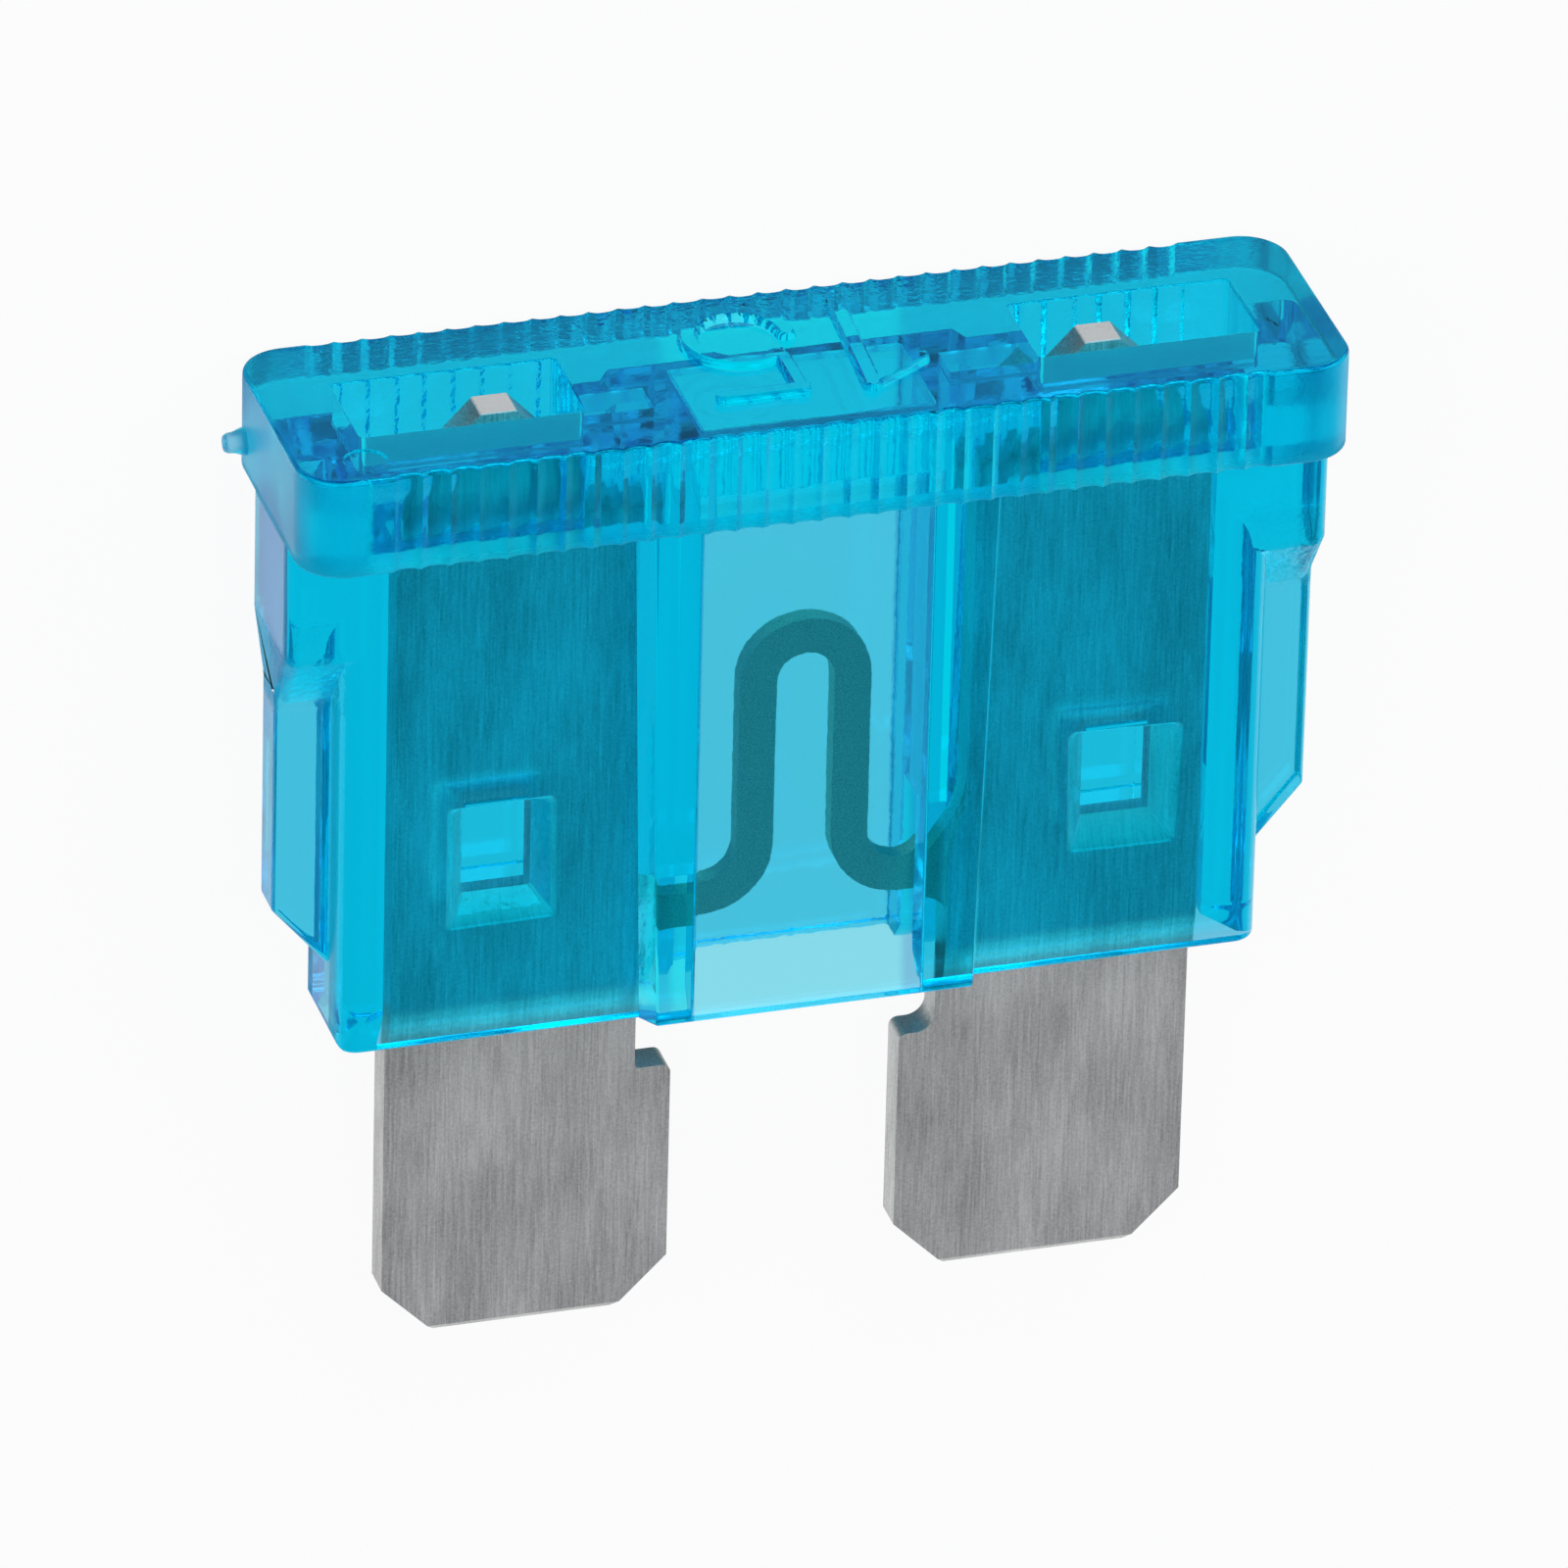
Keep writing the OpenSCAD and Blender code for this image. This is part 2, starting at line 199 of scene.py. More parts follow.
def inset(outline, amount):
    """An anticlockwise outline drawn in by an amount.

    Each point moves by amount·(n1 + n2)/(1 + n1·n2), n1 and n2 being the inward
    normals of its two edges.
    """
    edges = np.roll(outline, -1, 0) - outline
    normals = np.stack([-edges[:, 1], edges[:, 0]], 1) / np.linalg.norm(edges, axis=1)[:, None]
    before = np.roll(normals, 1, 0)
    return outline + amount * (normals + before) / (1 + (normals * before).sum(1))[:, None]


def loft(name, rings):
    """A closed mesh through rings of equally many points.

    Point j of ring i is joined to its neighbour on the ring and to point j of
    the next one. The first and the last ring get a face of their own.
    """
    rings = np.asarray(rings, float)
    count, size = rings.shape[:2]
    i, j = np.meshgrid(np.arange(count - 1), np.arange(size), indexing="ij")
    k = (j + 1) % size
    quads = np.stack([i * size + j, i * size + k, (i + 1) * size + k, (i + 1) * size + j], -1)
    ends = [list(range(size))[::-1], list(range((count - 1) * size, count * size))]
    mesh = bpy.data.meshes.new(name)
    mesh.from_pydata(rings.reshape(-1, 3).tolist(), [], quads.reshape(-1, 4).tolist() + ends)
    work = bmesh.new()
    work.from_mesh(mesh)
    bmesh.ops.recalc_face_normals(work, faces=work.faces)
    if work.calc_volume(signed=True) < 0:
        bmesh.ops.reverse_faces(work, faces=work.faces)
    work.to_mesh(mesh)
    work.free()
    piece = bpy.data.objects.new(name, mesh)
    bpy.context.collection.objects.link(piece)
    return piece


def rim(radius, steps=4):
    """A quarter round as pairs (drawn in, along): radius·(1 − sin t) and radius·(1 − cos t)."""
    t = np.linspace(0, math.pi / 2, steps + 1)
    return list(zip(radius * (1 - np.sin(t)), radius * (1 - np.cos(t))))


def placed(outline, along, axis):
    """Puts an outline at a distance along X, Y or Z; it is drawn in YZ, ZX or XY."""
    out = np.empty((len(outline), 3))
    out[:, axis] = along
    out[:, (axis + 1) % 3], out[:, (axis + 2) % 3] = outline[:, 0], outline[:, 1]
    return out


def slab(name, outline, low, high, axis, low_rim=0.0, high_rim=0.0):
    """An outline stretched from low to high along an axis, with a quarter round on either rim."""
    below, above = (rim(radius) if radius else [(0, 0)] for radius in (low_rim, high_rim))
    rings = [placed(inset(outline, d), low + a, axis) for d, a in below]
    rings += [placed(inset(outline, d), high - a, axis) for d, a in reversed(above)]
    return loft(name, rings)


def applied(piece):
    """A new mesh with the piece's modifiers in it."""
    graph = bpy.context.evaluated_depsgraph_get()
    return bpy.data.meshes.new_from_object(piece.evaluated_get(graph))


def open_edges(work):
    """How many edges do not lie between exactly two faces: a closed mesh has none."""
    return sum(1 for e in work.edges if len(e.link_faces) != 2)


def combine(base, others, operation):
    """Adds pieces to the base, or cuts them out of it, one after the other."""
    for other in others:
        step = base.modifiers.new(operation, "BOOLEAN")
        step.operation, step.solver, step.object = operation, "MANIFOLD", other
        made = applied(base)
        base.modifiers.clear()
        base.data = made
        bpy.data.objects.remove(other)
    work = bmesh.new()
    work.from_mesh(base.data)
    print(base.name, operation.lower(), len(base.data.polygons), "faces,",
          round(work.calc_volume(), 2), "cubic mm, open edges:", open_edges(work))
    work.free()
    return base


# %% [markdown]
# ## The cap
# The cap is the part that fingers or a fuse puller hold, so it stands out all
# round and its long sides have upright flutes. Between two flutes stands a
# narrow ridge: its steep flanks throw the light aside, which draws the dark
# lines on the far wall of the test windows. The outline is drawn in at the top
# and the bottom ring by ring, which makes the soft edges.

# %% Cap
CAP_W, CAP_R = 19.1, 0.85
CAP_Z = HOUSING_H - CAP_H
CAP_FOOT_RIM, CAP_TOP_RIM = 0.07, 0.09
FLUTES, PITCH, FLUTE_DEPTH, FLUTE_STEPS = 31, 0.515, 0.08, 12
RIDGE, STEEP = 0.085, 1.5
LEVELS, WANDER, BREATH = 9, 0.012, 0.1
CORNER_STEPS = 12
dice = np.random.default_rng(15)
depth_of_flute = {side: dice.uniform(0.75, 1.1, FLUTES + 1) for side in (-1, 1)}
unsteady = {side: dice.normal(0, 1, (LEVELS, FLUTES + 1)) for side in (-1, 1)}


def fluted(x, side, level):
    """Depth at x: d·(1 − exp(−(t/RIDGE)^STEEP)), t being the mm to the nearest ridge.

    d and the ridge's place change a little from flute to flute and from level
    to level, by what the dice gave each of them.
    """
    turns = (x + FLUTES * PITCH / 2) / PITCH
    here = np.interp(turns, np.arange(FLUTES + 1), unsteady[side][level])
    each = depth_of_flute[side][np.clip(turns, 0, FLUTES).astype(int)] * (1 + BREATH * here)
    turns = turns + WANDER * here * np.sin(np.pi * np.clip(turns / FLUTES, 0, 1)) ** 0.3
    t = PITCH * np.abs(turns - np.round(turns))
    return FLUTE_DEPTH * np.clip(each, 0.5, 1.2) * (1 - np.exp(-(t / RIDGE) ** STEEP))


def cap_ring(z, draw_in, level=0):
    """The cap's outline at height z: two fluted sides and four quarter circles.

    The back's flutes stand half a pitch to the left of the front's.
    """
    x = np.linspace(-0.5, 0.5, FLUTES * FLUTE_STEPS + 1) * FLUTES * PITCH
    parts = []
    for side in (-1, 1):
        along = x if side < 0 else -x
        y = side * (CAP_D / 2 - draw_in - fluted(along, side, level))
        parts.append(np.stack([along - (PITCH / 2 if side > 0 else 0), y], 1))
        for sx, sy, a in (((1, -1, -90), (1, 1, 0)) if side < 0 else ((-1, 1, 90), (-1, -1, 180))):
            t = np.radians(a + np.linspace(0, 90, CORNER_STEPS + 1))
            r = CAP_R - draw_in
            parts.append(np.stack([sx * (CAP_W / 2 - CAP_R) + r * np.cos(t),
                                   sy * (CAP_D / 2 - CAP_R) + r * np.sin(t)], 1))
    outline = np.concatenate(parts)
    return np.column_stack([outline, np.full(len(outline), z)])


heights = np.linspace(CAP_Z + CAP_FOOT_RIM, HOUSING_H - CAP_TOP_RIM, LEVELS)[1:-1]
cap_rings = [cap_ring(CAP_Z + a, d) for d, a in rim(CAP_FOOT_RIM)]
cap_rings += [cap_ring(z, 0, level + 1) for level, z in enumerate(heights)]
cap_rings += [cap_ring(HOUSING_H - a, d, LEVELS - 1) for d, a in reversed(rim(CAP_TOP_RIM))]
cap = loft("clear_housing", cap_rings)
print("cap faces:", len(cap.data.polygons))

# %% [markdown]
# ## The body
# Under the cap a neck slopes in to a thin fin on each end. Two flat panels
# cover the blades, and a bulge over the fuse link gives it room. In the mould
# these are pockets inside each other, so they are modelled as slabs that are
# added together.

# %% Neck, fins, panels and bulge
# Two faces in one plane would confuse a boolean, so they are kept APART.
APART = 0.01
BODY_TOP = HOUSING_H - CAP_H / 2
PANEL_W, PANEL_D, PANEL_R, PANEL_RIM = 17.0, 2.44, 0.42, 0.1
FOOT_R_LEFT, FOOT_R_RIGHT = 0.28, 0.16
NECK_W, NECK_Z, NECK_R, NECK_RIM = 19.04, 8.0, 0.25, 0.28
FIN_D, FIN_TOP_Z, FIN_TOP_R, FIN_R, FIN_RIM = 0.88, 6.85, 0.1, 0.13, 0.11
FIN_FOOT, FIN_CORNER_Z = (1.45, 8.5), 2.65
# The bulge's corners left and right, how far each flank runs out on its way down
# to the panel, and the draft that lets it out of the mould.
CORNERS, FLANKS, FLANK_H, DRAFT = (-2.75, 3.07), (0.235, 0.145), 0.36, 0.024
BULGE_RIM, BULGE_SUNK, BULGE_LIFT = 0.07, 0.66, 0.002

neck_half = [(PANEL_D / 2, BODY_TOP), (PANEL_D / 2, NECK_Z), (FIN_D / 2, FIN_TOP_Z)]
neck_outline = rounded([(-y, z) for y, z in neck_half] + neck_half[::-1],
                       (0, NECK_R, FIN_TOP_R, FIN_TOP_R, NECK_R, 0))
neck = slab("neck", neck_outline, -NECK_W / 2, NECK_W / 2, 0, NECK_RIM, NECK_RIM)

fin_half = [FIN_FOOT, (FIN_CORNER_Z, NECK_W / 2 - APART), (NECK_Z, NECK_W / 2 - APART)]
fin_points = [(z, -x) for z, x in fin_half] + fin_half[::-1]
fins = slab("fins", rounded(fin_points, FIN_R), -FIN_D / 2, FIN_D / 2, 1, FIN_RIM, FIN_RIM)


def box_outline(x, y, half_x, half_y, radius, steps=4):
    """A rectangle about (x, y) with round corners."""
    corners = [(x - half_x, y - half_y), (x + half_x, y - half_y),
               (x + half_x, y + half_y), (x - half_x, y + half_y)]
    return rounded(corners, radius, steps)


# One slab rounds the panels' upright edges and another their feet: the panels
# are what both have in common.
across = box_outline(0, 0, PANEL_W / 2, PANEL_D / 2, PANEL_R, 6)
panels = slab("panels", across, 0, BODY_TOP, 2, PANEL_RIM)
feet = rounded([(0, -PANEL_W / 2), (BODY_TOP + 1, -PANEL_W / 2),
                (BODY_TOP + 1, PANEL_W / 2), (0, PANEL_W / 2)],
               (FOOT_R_LEFT, 0, 0, FOOT_R_RIGHT), 6)
combine(panels, [slab("feet", feet, -PANEL_D, PANEL_D, 1)], "INTERSECT")


def bulge_ring(z, draw_in):
    """Eight-sided ring at height z: two faces, four flanks and two hidden sides.

    The corners of the faces stand at CORNERS, DRAFT·z further out. Each flank
    runs FLANKS out in FLANK_H and goes on so, until BULGE_SUNK below the face.
    """
    left, right = CORNERS[0] - DRAFT * z, CORNERS[1] + DRAFT * z
    low = left - FLANKS[0] * BULGE_SUNK / FLANK_H
    high = right + FLANKS[1] * BULGE_SUNK / FLANK_H
    half = BULGE_D / 2
    points = [(left, -half), (right, -half), (high, BULGE_SUNK - half), (high, half - BULGE_SUNK),
              (right, half), (left, half), (low, half - BULGE_SUNK), (low, BULGE_SUNK - half)]
    return placed(inset(rounded(points, BULGE_RIM), draw_in), z, 2)


bulge_rings = [bulge_ring(BULGE_LIFT + a, d) for d, a in rim(BULGE_RIM)]
bulge = loft("bulge", bulge_rings + [bulge_ring(BODY_TOP - APART, 0)])
combine(cap, (neck, fins, panels, bulge), "UNION")

# %% [markdown]
# ## The raised number and the small marks
# The rating is cut in to the mould, so it stands proud of the cap. A stroke is a
# low ridge with a flat top that follows a path. The gate stub on the end of the
# cap is where the plastic flowed in, and it is broken off, not cut.

# %% Raised number and gate stub
STROKE_W, STROKE_H, STROKE_SUNK = 0.34, 0.15, 0.08
STROKE_BEVEL, NARROWEST = 0.06, 0.08


def stroke(name, path, width=STROKE_W, height=STROKE_H):
    """A bevelled ridge along a path on the cap.

    Its half width is w/2 along the path and w/2·sqrt(1 − s²) past both ends,
    where s runs from 0 to 1, so that it ends in a half circle.
    """
    path = np.asarray(path, float)
    tangent = np.gradient(path, axis=0)
    tangent /= np.linalg.norm(tangent, axis=1)[:, None]
    steps = np.sin(np.linspace(-math.pi / 2, 0, 6))[:-1]
    ends = [(path[0] + tangent[0] * s * width / 2, tangent[0], math.sqrt(1 - s * s))
            for s in steps]
    middle = [(p, t, 1.0) for p, t in zip(path, tangent)]
    far = [(path[-1] - tangent[-1] * s * width / 2, tangent[-1], math.sqrt(1 - s * s))
           for s in steps[::-1]]
    rings = []
    for p, t, share in ends + middle + far:
        half = max(share, NARROWEST) * width / 2
        slope = min(STROKE_BEVEL, half / 2)
        u = np.array([-half - slope / 2, half + slope / 2, half, half - slope, slope - half, -half])
        h = np.array([-STROKE_SUNK, -STROKE_SUNK, height - slope, height, height, height - slope])
        rings.append(np.column_stack([p[0] - u * t[1], p[1] + u * t[0], HOUSING_H + h]))
    return loft(name, rings)


def line(start, end):
    """Eight points at equal steps from start to end."""
    return np.linspace(start, end, 8)


# The figures are read from behind. The 1 is a line with a flag, and the 5 is a
# bar, a stem and a bowl, which is an arc of 304 degrees.
bowl_angle = np.radians(np.linspace(-56, -360, 40))
bowl = np.column_stack([-0.86 + 0.88 * np.cos(bowl_angle), 0.80 + 0.90 * np.sin(bowl_angle)])
strokes = [
    stroke("one", line((1.18, 1.82), (0.97, -1.36))),
    stroke("flag", line((0.97, -1.36), (2.07, -0.64)), 0.28),
    stroke("bar", line((-0.28, -1.25), (-1.67, -1.25))),
    stroke("stem", line((-0.28, -1.25), (-0.28, -0.06)), 0.3),
    stroke("bowl", bowl),
]
# The stub's rings: how far out each one is, and its radius, which is 6 % uneven.
STUB_Y, STUB_BELOW_TOP = 1.6, 1.27
STUB = ((-0.2, 0.25), (0.05, 0.24), (0.2, 0.2), (0.32, 0.19), (0.38, 0.15), (STUB_REACH, 0.07))
around = np.radians(np.arange(0, 360, 15))
stub_rings = []
for reach, radius in STUB:
    uneven = radius * (1 + 0.06 * np.sin(2 * around + 9 * reach))
    circle = np.column_stack([STUB_Y + uneven * np.cos(around),
                              HOUSING_H - STUB_BELOW_TOP + uneven * np.sin(around)])
    stub_rings.append(placed(circle, -CAP_W / 2 - reach, 0))
combine(cap, strokes + [loft("stub", stub_rings)], "UNION")

# %% [markdown]
# ## The openings
# Two test windows in the top let a probe touch the tips of the blades. The
# chamber and the slots are open below, where the element went in. In the mould
# these are cores that the plastic flows round. A pocket is a stack of rings as
# well, which widens in a quarter round where it comes out. The windows' walls
# are a little uneven, because clear plastic shows every wave of its core.

# %% Windows, chamber and slots
def pocket(name, outline, floor, mouth, axis, floor_rim, flare):
    """Rings from the floor to the mouth.

    At the mouth they are drawn out by flare·(1 − cos t) while they rise by
    flare·sin t, and then they go on straight, to cut clear through the skin.
    """
    way = 1 if mouth > floor else -1
    rings = [placed(inset(outline, d), floor + way * a, axis) for d, a in rim(floor_rim)]
    rings += [placed(inset(outline, -a), mouth - way * d, axis) for d, a in rim(flare)]
    return loft(name, rings + [placed(inset(outline, -flare), mouth + way * BEYOND, axis)])


def ragged(outline, amount, step=0.12):
    """The outline with a point at every step, each moved at random.

    A point moves by the mean of its own throw of the dice and its neighbours'.
    """
    following = np.roll(outline, -1, 0)
    lengths = np.linalg.norm(following - outline, axis=1)
    counts = np.maximum(1, np.round(lengths / step).astype(int))
    points = np.concatenate([a + (b - a) * np.linspace(0, 1, n, endpoint=False)[:, None]
                             for a, b, n in zip(outline, following, counts)])
    move = dice.normal(0, amount, points.shape)
    return points + (move + np.roll(move, 1, 0) + np.roll(move, -1, 0)) / 3


def worn_pocket(name, outline, floor, mouth, floor_rim, flare):
    """A pocket along Z with uneven walls.

    All rings share one ragged outline, and each ring of the walls is a little
    ragged on its own as well.
    """
    levels = [(floor + a, -d) for d, a in rim(floor_rim)][::2]
    levels += [(z, 0) for z in np.linspace(floor + floor_rim, mouth - flare, 6)[1:]]
    levels += [(mouth - d, a) for d, a in rim(flare)][1:] + [(mouth + BEYOND, flare)]
    base = ragged(outline, 0.0)
    shared = ragged(outline, UNEVEN) - base
    rings = []
    for i, (z, out) in enumerate(levels):
        own = ragged(outline, UNEVEN_RING) - base if 1 < i < len(levels) - 5 else 0
        rings.append(placed(inset(base, -out) + shared + own, z, 2))
    return loft(name, rings)


# Every size is in mm: the half sizes of an outline, the round at its floor and
# the flare at its mouth.
BEYOND = 0.5
UNEVEN, UNEVEN_RING = 0.006, 0.004
WINDOW_X, WINDOW_W, WINDOW_D, WINDOW_H = 6.15, 4.05, 1.96, 2.1
WINDOW_R, WINDOW_RIM, WINDOW_FLARE = 0.1, 0.08, 0.05
CHAMBER_X, CHAMBER_HALF_W, CHAMBER_HALF_D, CHAMBER_R = 0.09, 2.15, 1.15, 0.08
CHAMBER_TOP, CHAMBER_RIM, CHAMBER_FLARE = 10.7, 0.07, 0.02
SLOT_D, SLOT_IN, SLOT_OUT, SLOT_TOP = 0.75, 2.70, 7.56, 11.05
# The channel from the chamber to the slots is as high as the link's foot needs,
# which runs up the right blade further than up the left one.
CHANNEL_LEFT, CHANNEL_RIGHT = 2.65, 3.5
LEAD_H, LEAD_LEFT, LEAD_RIGHT, LEAD_D = 0.42, 0.16, 0.76, 0.34
EJECTOR_X, EJECTOR_Y, EJECTOR_R, EJECTOR_DEEP = -8.3, -1.8, 0.375, 0.04

cutters = []
for sx in (-1, 1):
    outline = box_outline(sx * WINDOW_X, 0, WINDOW_W / 2, WINDOW_D / 2, WINDOW_R)
    cutters.append(worn_pocket("window", outline, HOUSING_H - WINDOW_H, HOUSING_H,
                               WINDOW_RIM, WINDOW_FLARE))
outline = box_outline(CHAMBER_X, 0, CHAMBER_HALF_W, CHAMBER_HALF_D, CHAMBER_R)
cutters.append(pocket("chamber", outline, CHAMBER_TOP, 0, 2, CHAMBER_RIM, CHAMBER_FLARE))
comb = [(-1, -SLOT_OUT), (SLOT_TOP, -SLOT_OUT), (SLOT_TOP, -SLOT_IN), (CHANNEL_LEFT, -SLOT_IN),
        (CHANNEL_LEFT, 0), (CHANNEL_RIGHT, 0), (CHANNEL_RIGHT, SLOT_IN), (SLOT_TOP, SLOT_IN),
        (SLOT_TOP, SLOT_OUT), (-1, SLOT_OUT)]
cutters.append(slab("slots", np.array(comb), -SLOT_D / 2, SLOT_D / 2, 1))


def mouth_ring(z, share):
    """The lead-in at height z: the slots' outline, moved out by share times LEAD_LEFT,
    LEAD_RIGHT and LEAD_D on the left, on the right, and on the front and back."""
    left, right = -SLOT_OUT - LEAD_LEFT * share, SLOT_OUT + LEAD_RIGHT * share
    y = SLOT_D / 2 + LEAD_D * share
    return np.array([(left, -y, z), (right, -y, z), (right, y, z), (left, y, z)])


cutters.append(loft("lead_in", [mouth_ring(-LEAD_H, 2), mouth_ring(LEAD_H, 0)]))

# %% [markdown]
# ## The staking dents
# A warm tool is pressed in to both panels once the element is in. It leaves a
# square dent with sloping sides, and pushes plastic through a hole in each
# blade, so that the element cannot come out. Soft plastic never keeps a
# straight edge, so a slow wave runs round every ring. The small round mark on
# the cap is where a pin pushed the moulding out.

# %% Dents and stakes
STAKE_X, STAKE_SHIFT, STAKE_Z = 5.70, 0.16, 3.69
STAKE_HALF_W, STAKE_HALF_H = 0.57, 0.84
DENT_FLOOR, DENT_HALF_W, DENT_HALF_H = 0.75, 0.63, 0.91
SIDE_OUT, FOOT_OUT, HEAD_OUT = 0.36, 0.46, 0.12
LIP, LIP_FROM = 0.05, 0.8
UNREST = 0.012


def dent(x, side):
    """Rings from the dent's floor (f = 0) to the panel (f = 1) and a little beyond.

    The sides move out by SIDE_OUT·f, the foot by FOOT_OUT·f and the head by
    HEAD_OUT·f. From f = LIP_FROM on the rim moves out by
    LIP·((f − LIP_FROM)/0.2)² more. A wave of three sines runs round the ring.
    """
    rings = []
    unrest = dice.normal(0, UNREST, (3, 2))
    for f in (0, 0.03, 0.3, 0.6, 0.8, 0.9, 0.96, 1.0, 1.6):
        edge = LIP * (min(max(f - LIP_FROM, 0), 0.2) / 0.2) ** 2
        g = min(f, 1)
        out = DENT_HALF_W + SIDE_OUT * g + edge
        low = STAKE_Z - DENT_HALF_H - FOOT_OUT * g - edge
        high = STAKE_Z + DENT_HALF_H + HEAD_OUT * g + edge
        foot_r, head_r = 0.05 + 0.03 * g, 0.08 + 0.06 * g
        outline = rounded([(low, x - out), (high, x - out), (high, x + out), (low, x + out)],
                          (foot_r, head_r, head_r, foot_r), 6)
        angle = np.arctan2(outline[:, 1] - x, outline[:, 0] - STAKE_Z)
        wave = sum(np.outer(np.sin((k + 2) * angle), unrest[k])
                   + np.outer(np.cos((k + 3) * angle), unrest[k][::-1]) for k in range(3))
        depth = DENT_FLOOR + f * (PANEL_D / 2 - DENT_FLOOR)
        rings.append(placed(outline + wave * g, side * depth, 1))
    return loft("dent", rings)


cutters += [dent(sx * STAKE_X + STAKE_SHIFT, side) for sx in (-1, 1) for side in (-1, 1)]
mark = np.column_stack([EJECTOR_X + EJECTOR_R * np.cos(around),
                        EJECTOR_Y + EJECTOR_R * np.sin(around)])
cutters.append(pocket("ejector", mark, HOUSING_H - EJECTOR_DEEP, HOUSING_H, 2, 0.02, 0.03))
combine(cap, cutters, "DIFFERENCE")
stakes = []
for x in (-STAKE_X + STAKE_SHIFT, STAKE_X + STAKE_SHIFT):
    low, high = STAKE_Z - STAKE_HALF_H, STAKE_Z + STAKE_HALF_H
    left, right = x - STAKE_HALF_W, x + STAKE_HALF_W
    outline = np.array([(low, left), (high, left), (high, right), (low, right)])
    stakes.append(slab("stake", outline, -SLOT_D / 2 - APART, SLOT_D / 2 + APART, 1))
housing = combine(cap, stakes, "UNION")

# %% [markdown]
# ## Normals for clear plastic
# Light is bent by the direction in which a surface points, so a flat face must
# point one way all over. Blender's smooth shading would blend a big face with
# the narrow rounding beside it, and the face would act as a lens. So each
# corner of a face gets the mean of the faces around it that point almost the
# same way, weighted by the square of the area of the flat patch that each
# belongs to: the flat faces win, and only the roundings blend.

# %% Weigh the normals and lay the housing down
def weigh_normals(mesh, widest=40.0):
    """Gives each face's corners their own normals.

    The normal at a corner is the sum of A²·n over the faces at that vertex that
    point within an angle of this face, A being the area of all faces in the
    same plane.
    """
    faces = len(mesh.polygons)
    normals, areas, middles = np.empty(faces * 3), np.empty(faces), np.empty(faces * 3)
    mesh.polygons.foreach_get("normal", normals)
    mesh.polygons.foreach_get("area", areas)
    mesh.polygons.foreach_get("center", middles)
    normals, middles = normals.reshape(-1, 3), middles.reshape(-1, 3)
    plane = np.column_stack([normals.round(3), (normals * middles).sum(1).round(2)])
    _, patch = np.unique(plane, axis=0, return_inverse=True)
    patch = patch.ravel()
    weight = np.bincount(patch, areas)[patch] ** 2
    vertex = np.empty(len(mesh.loops), int)
    mesh.loops.foreach_get("vertex_index", vertex)
    face = np.repeat(np.arange(faces), [p.loop_total for p in mesh.polygons])
    around = [[] for _ in mesh.vertices]
    for v, f in zip(vertex, face):
        around[v].append(f)
    limit = math.cos(math.radians(widest))
    out = np.empty((len(vertex), 3))
    for i, (v, f) in enumerate(zip(vertex, face)):
        near = np.array(around[v])
        near = near[normals[near] @ normals[f] > limit]
        total = (normals[near] * weight[near, None]).sum(0)
        out[i] = total / np.linalg.norm(total)
    mesh.polygons.foreach_set("use_smooth", [True] * faces)
    mesh.normals_split_custom_set(out.tolist())


def finish(piece, matrix):
    """Turns a finished mesh by the matrix, which also brings it from millimetres to metres."""
    mesh = piece.data
    mesh.transform(matrix)
    mesh.name = piece.name
    mesh.calc_loop_triangles()
    work = bmesh.new()
    work.from_mesh(mesh)
    print(piece.name, "triangles:", len(mesh.loop_triangles), "open edges:", open_edges(work),
          "volume in cubic mm:", round(work.calc_volume(signed=True) * MM ** 3, 1))
    work.free()


laid = np.eye(4)
laid[:3, 3] = lay([[0, 0, 0]])[0]
laid[:3, :3] = (lay(np.eye(3)) - laid[:3, 3]).T
to_metres = Matrix.Scale(1 / MM, 4)
weigh_normals(housing.data)
finish(housing, to_metres @ Matrix(laid.tolist()))

# %% [markdown]
# ## The fuse element
# Both blades and the link are one piece of zinc. It is punched from strip, and
# the link is coined thinner so that it melts first. Here the CAD solid itself
# is used, and its loose triangles are merged to one skin. The right blade's
# inner edge stands a little further out where the link runs up in to it, so
# the skin is cut at each height of that fillet and moved there.

# %% Merge the element's skin
MERGE, FLAT = 0.0004, math.radians(0.8)
SET_BACK, ROOT_LOW, ROOT_HIGH = 0.33, 2.2, 3.72
ROOT_IN, ROOT_OUT = 1.9, 2.79


def merged(mesh):
    """A bmesh of a CAD mesh in metres, with its loose triangles joined, in mm."""
    work = bmesh.new()
    work.from_mesh(mesh)
    bmesh.ops.scale(work, vec=(MM, MM, MM), verts=work.verts)
    bmesh.ops.remove_doubles(work, verts=work.verts, dist=MERGE)
    bmesh.ops.dissolve_degenerate(work, dist=MERGE, edges=work.edges)
    return work


def root_at(up):
    """Which upright points lie on the fillet or on the blade's edge above it."""
    return (up[:, 0] > ROOT_IN) & (up[:, 0] < ROOT_OUT)


def set_back(up):
    """Moves the right blade's inner edge out by SET_BACK·(3s² − 2s³).

    s rises from 0 to 1 with the height, along the fillet above the link's foot.
    """
    s = np.clip((up[:, 2] - ROOT_LOW) / (ROOT_HIGH - ROOT_LOW), 0, 1)
    up[:, 0] += np.where(root_at(up), SET_BACK * (3 * s ** 2 - 2 * s ** 3), 0)
    return up


